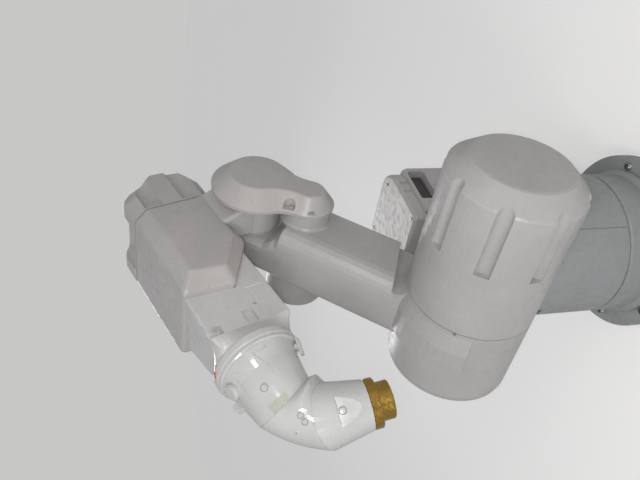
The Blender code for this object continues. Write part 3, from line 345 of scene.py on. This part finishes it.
def hex_bolt(radius, washer=0.0022):
    """A hexagonal head with a turned chamfer, on a thin washer."""
    return [
        (1.12 * radius, -0.0004, False), (1.12 * radius, washer, False), (radius, washer, True),
        (radius, washer + 0.56 * radius, True), (0.82 * radius, washer + 0.66 * radius, False),
    ]


def plug(radius, rise=0.0012):
    """A flush plug: a narrow raised ring, a moat that takes painted shade and a button with a shallow socket.
    """
    return [
        (radius, -0.0005, False), (radius, rise - 0.0003, False), (0.95 * radius, rise, False),
        (0.87 * radius, rise, False), (0.82 * radius, 0.0002, False), (0.68 * radius, 0.0002, False),
        (0.62 * radius, rise * 0.8, False), (0.30 * radius, rise * 0.9, True),
        (0.27 * radius, rise * 0.4, True),
    ]


def button(radius, rise=0.0016):
    """A low domed blanking cap."""
    return [
        (radius, -0.0005, False), (radius, 0.3 * rise, False), (0.86 * radius, 0.75 * rise, False),
        (0.6 * radius, 0.96 * rise, False), (0.2 * radius, rise, False),
    ]


def band(bm, track, width, rise, soft=0.25):
    """A thin raised strip along surface points, each given as (place, normal)."""
    rings = []
    for k, (place, normal) in enumerate(track):
        along = track[min(k + 1, len(track) - 1)][0] - track[max(k - 1, 0)][0]
        side = along.cross(normal).normalized()
        ring = []
        for across, up in ((-0.5, -0.0005), (-0.5 + soft, rise), (0.5 - soft, rise), (0.5, -0.0005)):
            ring.append(bm.verts.new(place + side * (across * width) + normal * up))
        rings.append(ring)
    for low, high in zip(rings, rings[1:]):
        for k in range(4):
            bm.faces.new((low[k], high[k], high[(k + 1) % 4], low[(k + 1) % 4]))
    bm.faces.new(rings[0])
    bm.faces.new(rings[-1][::-1])


def piece(name, body, materials, build, smooth=35.0):
    """One object from a function that fills a bmesh, riding on its body."""
    bm = bmesh.new()
    build(bm)
    bmesh.ops.recalc_face_normals(bm, faces=bm.faces)
    mesh = bpy.data.meshes.new(name)
    bm.to_mesh(mesh)
    bm.free()
    for polygon in mesh.polygons:
        polygon.use_smooth = True
    mesh.set_sharp_from_angle(angle=math.radians(smooth))
    for material in materials:
        mesh.materials.append(material)
    made = bpy.data.objects.new(name, mesh)
    bpy.context.scene.collection.objects.link(made)
    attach(made, body)
    return made


# Which bands of a lathed form are dark, with painted shade: its top alone, or the moat of a plug.
TOP = (-1,)
MOAT = (3, 4)


# By default the top face gets DARK, the near-black painted shade; on the screws that face is the floor of the
# socket.
def studs(name, body, material, places, rings, dark=TOP, second=DARK):
    def build(bm):
        for place, normal in places:
            lathe(bm, upright(place, normal), rings, dark)

    piece(name, body, (material, second), build)


GLOSS = FINISHES["gloss_paint"]
COVER = FINISHES["cover_paint"]


# Wrist: plugs, panel ridges, the thin plate by the first seam, and the pad's raised outline.
def on_1(degrees, height):
    return round_touch("wrist_section_1", ROLL, degrees, height)


def on_2(degrees, height):
    return round_touch("wrist_section_2", BEND, degrees, height)


def on_3(degrees, height):
    return round_touch("wrist_section_3", COUNTER, degrees, height)


def between(start, end, count):
    return [
        tuple(a + (b - a) * k / (count - 1) for a, b in zip(start, end)) for k in range(count)
    ]


PAIR = [on_2(-102.0, 0.0870), on_2(-110.0, 0.0725)]
# The plugs' moats get painted shade as their second material.
for name, body, spots, rings, dark, second in (
    ("wrist_plug_1", "wrist_roll", [on_1(173.7, 0.1152)], plug(0.0125), MOAT, GREY_SHADE),
    ("wrist_plug_2", "wrist_bend", [on_2(-79.3, 0.0701)], button(0.0095), TOP, DARK),
    ("wrist_plugs_3", "wrist_bend", PAIR, plug(0.0095, 0.0018), MOAT, GREY_SHADE),
    ("wrist_plug_4", "wrist_bend", [on_2(-167.0, 0.0659)], plug(0.0045, 0.0008), MOAT, GREY_SHADE),
    ("pad_plug", "wrist_counter", [on_3(173.8, 0.0319)], plug(0.0120, 0.0016), MOAT, GREY_SHADE),
):
    studs(name, body, GLOSS, spots, rings, dark, second)


def wrist_ridges(bm):
    left = [(194.3, 0.026), (197.5, 0.032)] + between((199.0, 0.040), (203.5, 0.108), 9)
    band(bm, [on_1(*p) for p in left], 0.0050, 0.0022)
    right = [(137.2, 0.0277), (142.0, 0.0300), (146.3, 0.0321), (152.0, 0.0292), (158.5, 0.0283)]
    band(bm, [on_1(*p) for p in right], 0.0050, 0.0024)
    down = between((158.5, 0.0283), (151.4, 0.061), 5) + between((150.6, 0.066), (148.4, 0.0944), 4)
    band(bm, [on_1(*p) for p in down], 0.0048, 0.0020)


SEAM_TILT = FOREARM_WAY.angle(axis_of("bend"))
SEAM_HEIGHT = (place_of("bend") - place_of("roll")).dot(FOREARM_WAY)
SEAM_REACH = 0.0805
PLATE_MIDDLE = 170.0
PLATE_SPREAD = 40.0
PLATE_COLUMNS = 15
PLATE_ROWS = 4
PLATE_LOW = 0.1550
PLATE_WAVE = 0.0015
PLATE_SEAM_GAP = 0.0035
PLATE_RISE = 0.0010
PLATE_SUNK = 0.0006


def plate_column(degrees):
    """Surface points at one azimuth, from the plate's wavy low edge to just short of the seam."""
    seam = SEAM_HEIGHT - SEAM_REACH * math.cos(math.radians(degrees)) * math.tan(SEAM_TILT)
    low = PLATE_LOW + PLATE_WAVE * math.cos(math.radians((degrees - PLATE_MIDDLE) * 3))
    heights = between((low,), (seam - PLATE_SEAM_GAP,), PLATE_ROWS)
    return [on_1(degrees, height) for (height,) in heights]


def seam_plate(bm):
    first, step = PLATE_MIDDLE - PLATE_SPREAD / 2, PLATE_SPREAD / (PLATE_COLUMNS - 1)
    grid = [plate_column(first + step * k) for k in range(PLATE_COLUMNS)]
    outer, inner = (
        [[bm.verts.new(place + normal * rise) for place, normal in column] for column in grid]
        for rise in (PLATE_RISE, -PLATE_SUNK)
    )
    for low, high, flip in ((outer, outer, False), (inner, inner, True)):
        for a, b in zip(low, low[1:]):
            for k in range(PLATE_ROWS - 1):
                corners = (a[k], a[k + 1], b[k + 1], b[k])
                bm.faces.new(corners[::-1] if flip else corners)
    rim = []
    for k in range(PLATE_ROWS - 1):
        rim.append(bm.faces.new((outer[0][k + 1], outer[0][k], inner[0][k], inner[0][k + 1])))
        rim.append(bm.faces.new((outer[-1][k], outer[-1][k + 1], inner[-1][k + 1], inner[-1][k])))
    for a, b, c, d in zip(outer, outer[1:], inner, inner[1:]):
        rim.append(bm.faces.new((a[0], b[0], d[0], c[0])))
        rim.append(bm.faces.new((b[-1], a[-1], c[-1], d[-1])))
    # The plate's rim gets the second material: a dark outline of painted shade.
    for face in rim:
        face.material_index = 1


def pad_rim(bm):
    top = between((201.0, 0.0200), (186.0, 0.0172), 5) + between((183.0, 0.0168), (142.0, 0.0185), 9)
    band(bm, [on_3(*p) for p in top], 0.0022, 0.0007)


piece("wrist_ridges", "wrist_roll", (GLOSS,), wrist_ridges)
piece("seam_plate", "wrist_roll", (PLATE, GREY_SHADE), seam_plate)
piece("pad_rim", "wrist_counter", (GLOSS,), pad_rim)


# Red tape on the forearm's neck, by the collar.
def neck_tape(bm):
    track = [
        round_touch("forearm_tube", ROLL, degrees, height)
        for degrees, height in between((-152.5, -0.0285), (-136.0, -0.0150), 12)
    ]
    band(bm, track, 0.0095, 0.0004, 0.02)


piece("neck_tape", "forearm", (TAPE,), neck_tape)


def ring_of(node, axis, centre, radius, count, direction, first):
    """Screw places in a circle on a face that looks along a frame's Y."""
    found = []
    for k in range(count):
        turn = math.radians(first) + 2 * math.pi * k / count
        spot = (centre[0] + radius * math.cos(turn), centre[1], centre[2] + radius * math.sin(turn))
        found.append(side_touch(node, axis, spot, direction))
    return found


# Arm, elbow and drum: screws in the cover's pockets, plugs and the covers' screw circles.
pockets = [
    side_touch("elbow_cover", SHOULDER, (x, 0.0, z), (0, 1, 0))
    for x, z in ((0.0436, 0.5893), (0.0364, 0.5215), (-0.0985, 0.6550))
]
studs("cover_screws", "lower_arm", COVER, pockets, cap_screw(0.0058))
seam_spot = side_touch("arm_casting", SHOULDER, (0.1897, -0.0868, -0.0097), (1, 0, 0))
studs("seam_screw", "lower_arm", ZINC, [seam_spot], plug(0.0050, 0.0010), MOAT, DARK)
ARM_LENGTH = (place_of("elbow") - place_of("shoulder")).length
MOTOR_DROP = 0.175
for name, node, middle, circle, count, first, screw in (
    ("hub_screws", "hub_end_cover", (0.0, -0.3, 0.0), 0.148, 12, 15.0, 0.0070),
    ("motor_screws", "elbow_motor_cover", (-0.025, -0.4, ARM_LENGTH - MOTOR_DROP), 0.070, 8, 22.5, 0.0050),
    ("bearing_screws", "elbow_bearing_cap", (0.0, -0.3, ARM_LENGTH), 0.048, 6, 0.0, 0.0050),
):
    spots = ring_of(node, SHOULDER, middle, circle, count, (0, -1, 0), first)
    studs(name, "lower_arm", ZINC, spots, low_screw(screw))
studs(
    "tube_plug", "forearm", COVER,
    [side_touch("forearm_tube", ELBOW, (0.3674, -0.141, 0.2046), (0, 1, 0))],
    plug(0.0055, 0.0010), MOAT, GREY_SHADE,
)
studs(
    "housing_plugs", "forearm", COVER,
    [
        side_touch("forearm_housing", ELBOW, (0.0960, -0.2610, 0.376), (0, 0, 1)),
        side_touch("forearm_housing", ELBOW, (0.1500, -0.1570, 0.376), (0, 0, 1)),
    ],
    plug(0.0060, 0.0010), MOAT, GREY_SHADE,
)
studs(
    "cap_screws", "forearm", ZINC,
    [
        side_touch("forearm_rear_cap", ELBOW, (-0.245, -0.245 + y, z), (-1, 0, 0))
        for y in (-0.105, 0.105) for z in (0.206, 0.247)
    ],
    low_screw(0.0052),
)

# Head and pedestal: lid screws, the connector box's two sockets with dark inserts, and the foot bolts.
studs(
    "lid_screws", "head", ZINC,
    [
        side_touch("rear_lid", WORLD, (x, y, 0.655), (0, 0, 1))
        for x, y in ((-0.438, -0.270), (-0.190, -0.270), (-0.190, -0.036), (-0.412, -0.062))
    ],
    low_screw(0.0055),
)
SOCKET_SIDES = (-0.042, 0.042)
SOCKET_HEIGHT = 0.099
SOCKET_SCREW_OFFSETS = (-0.0265, 0.0265)
BOX_FACE = -0.333


def box_touch(y, z):
    return side_touch("connector_box", WORLD, (BOX_FACE, y, z), (-1, 0, 0))


sockets = [box_touch(y, SOCKET_HEIGHT) for y in SOCKET_SIDES]
studs(
    "socket_shells", "foot", ZINC, sockets,
    [
        (0.0285, -0.0005, False), (0.0285, 0.0030, False), (0.0240, 0.0034, False),
        (0.0235, 0.0150, False), (0.0225, 0.0160, False), (0.0205, 0.0160, False), (0.0205, 0.0060, False),
    ],
)
studs(
    "socket_inserts", "foot", FINISHES["dark_plastic"],
    [(place + normal * 0.006, normal) for place, normal in sockets],
    [(0.0175, -0.0005, False), (0.0175, 0.0070, False), (0.0165, 0.0078, False)],
)
studs(
    "socket_screws", "foot", ZINC,
    [
        box_touch(y + across, SOCKET_HEIGHT + up)
        for y in SOCKET_SIDES for across in SOCKET_SCREW_OFFSETS for up in SOCKET_SCREW_OFFSETS
    ],
    cap_screw(0.0022),
)
BOLT_CIRCLE_R = 0.240
FOOT_TOP = 0.030
BOLT_COUNT = 8
BOLT_TURNS = [math.radians((k + 0.5) * 360.0 / BOLT_COUNT) for k in range(BOLT_COUNT)]
bolts = [
    (Vector((BOLT_CIRCLE_R * math.cos(turn), BOLT_CIRCLE_R * math.sin(turn), FOOT_TOP)), Vector((0, 0, 1)))
    for turn in BOLT_TURNS
]
studs("foot_bolts", "foot", ZINC, bolts, hex_bolt(0.0115))

# Floor, backdrop and lamps.
plate = bpy.data.meshes.new("floor")
plate.from_pydata([(-14, -14, 0), (14, -14, 0), (14, 14, 0), (-14, 14, 0)], [], [(0, 1, 2, 3)])
floor = bpy.data.objects.new("floor", plate)
bpy.context.scene.collection.objects.link(floor)
floor.location.z = -0.0008
floor_look = Nodes("floor")
floor_look.feed(
    floor_look.shader.inputs["Base Color"],
    floor_look.mix(floor_look.noise(0.8, 4.0), (0.72, 0.717, 0.710), (0.76, 0.756, 0.748)),
)
floor_look.shader.inputs["Roughness"].default_value = 0.85
floor_look.shader.inputs["Emission Color"].default_value = (0.98, 0.975, 0.965, 1.0)
glow = floor_look.math("MULTIPLY", floor_look.add("ShaderNodeLightPath").outputs["Is Camera Ray"], 0.26)
floor_look.feed(floor_look.shader.inputs["Emission Strength"], glow)
plate.materials.append(floor_look.material)

world = bpy.data.worlds.new("studio")
bpy.context.scene.world = world
world.use_nodes = True
sky = world.node_tree
light_sky = sky.nodes["Background"]
light_sky.inputs["Color"].default_value = (0.98, 0.98, 1.0, 1.0)
light_sky.inputs["Strength"].default_value = 0.42
seen_sky = sky.nodes.new("ShaderNodeBackground")
seen_sky.inputs["Color"].default_value = (0.575, 0.572, 0.567, 1.0)
rays = sky.nodes.new("ShaderNodeLightPath")
choose = sky.nodes.new("ShaderNodeMixShader")
sky.links.new(rays.outputs["Is Camera Ray"], choose.inputs[0])
sky.links.new(light_sky.outputs[0], choose.inputs[1])
sky.links.new(seen_sky.outputs[0], choose.inputs[2])
sky.links.new(choose.outputs[0], sky.nodes["World Output"].inputs["Surface"])


def lamp(name, at, aim, size, power, colour=(1.0, 1.0, 1.0), tall=None, spread=180.0):
    light = bpy.data.lights.new(name, "AREA")
    light.shape = "RECTANGLE"
    light.size = size
    light.size_y = tall or size
    light.spread = math.radians(spread)
    light.energy = power
    light.color = colour
    placed = bpy.data.objects.new(name, light)
    bpy.context.scene.collection.objects.link(placed)
    away = Vector(at) - Vector(aim)
    placed.matrix_world = Matrix.Translation(at) @ away.to_track_quat("Z", "Y").to_matrix().to_4x4()


lamp("key", (3.3, 0.5, 1.7), (0.0, 0.0, 0.8), 1.0, 34.0)
lamp("flash", (1.40, 1.25, 1.60), (0.1, -0.1, 0.9), 0.14, 12.5)
lamp("back", (-4.0, -4.0, 2.0), (0.0, 0.0, 1.0), 2.4, 9.0, spread=60.0)
lamp("strip", (1.15, 1.96, 2.46), (0.3, -0.15, 1.2), 1.0, 7.0, (1.0, 0.97, 0.93), 0.30)
lamp("fill", (0.4, 3.4, 1.6), (0.0, 0.0, 0.8), 2.0, 3.0, (1.0, 0.86, 0.72))

bpy.context.scene.view_settings.view_transform = "Standard"
